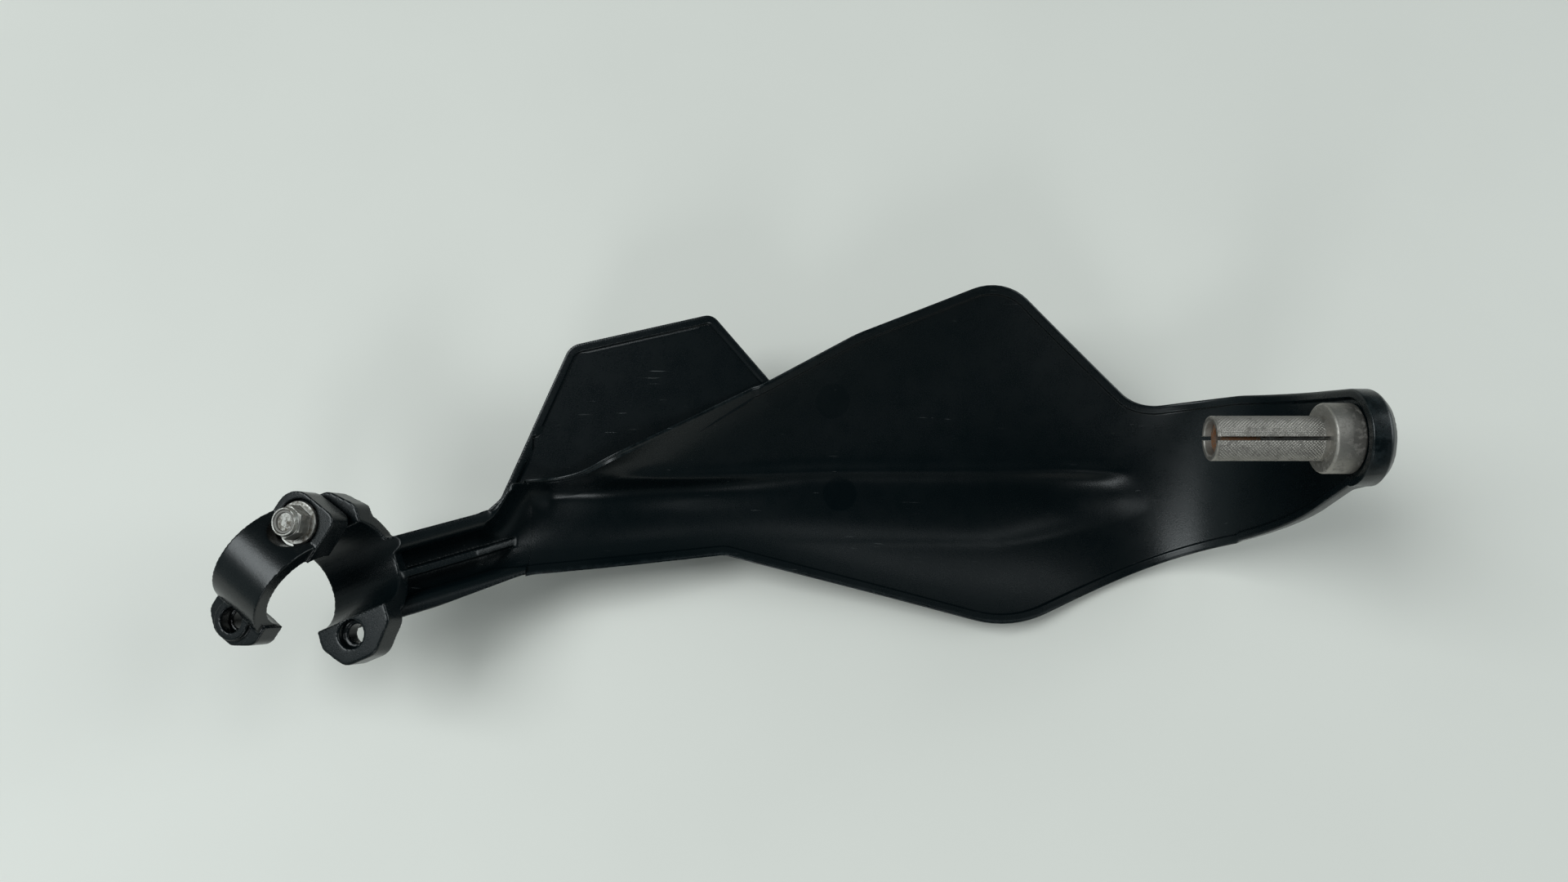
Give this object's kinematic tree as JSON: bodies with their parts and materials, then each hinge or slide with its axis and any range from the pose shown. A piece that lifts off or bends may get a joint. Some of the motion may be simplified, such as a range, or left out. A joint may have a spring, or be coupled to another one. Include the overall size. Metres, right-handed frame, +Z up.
{
  "type": "hand guard",
  "caption": "Closed motorcycle hand guard: scooped plastic shield with a side flap, a ribbed arm to a split bar clamp and an expanding bar-end sleeve.",
  "frame": {"origin": "centre of the handlebar's end face, where the bar-end sleeve meets its shoulder", "axes": "+X out along the bar end, +Z up with the hollow side of the shield facing up, as it lies on a bench"},
  "size_m": [0.3771, 0.1351, 0.1081],
  "materials": {
    "moulding": "satin black injection-moulded plastic, lightly scuffed",
    "cap": "worn, polished black plastic",
    "fastener": "zinc-plated steel, dirty",
    "lock_ring": "grey nylon",
    "sleeve": "oxidised, knurled aluminium",
    "cone": "rusty steel",
    "screw": "plated steel"
  },
  "bodies": {
    "guard": {"guard_moulding": "moulding", "clamp_bolt": "fastener", "clamp_nut": "fastener", "nut_insert": "lock_ring", "bar_end_sleeve": "sleeve", "expander_cone": "cone", "bar_end_screw": "screw", "bar_end_washer": "screw"},
    "cap": {"clamp_cap": "cap"}
  },
  "joints": [
    {"name": "cap_swivel", "type": "hinge", "parent": "guard", "child": "cap", "pos_m": [-0.32258, -0.01575, -0.03732], "axis": [-0.2694, -0.2568, 0.9282], "range_deg": [-63, 57]}
  ]
}
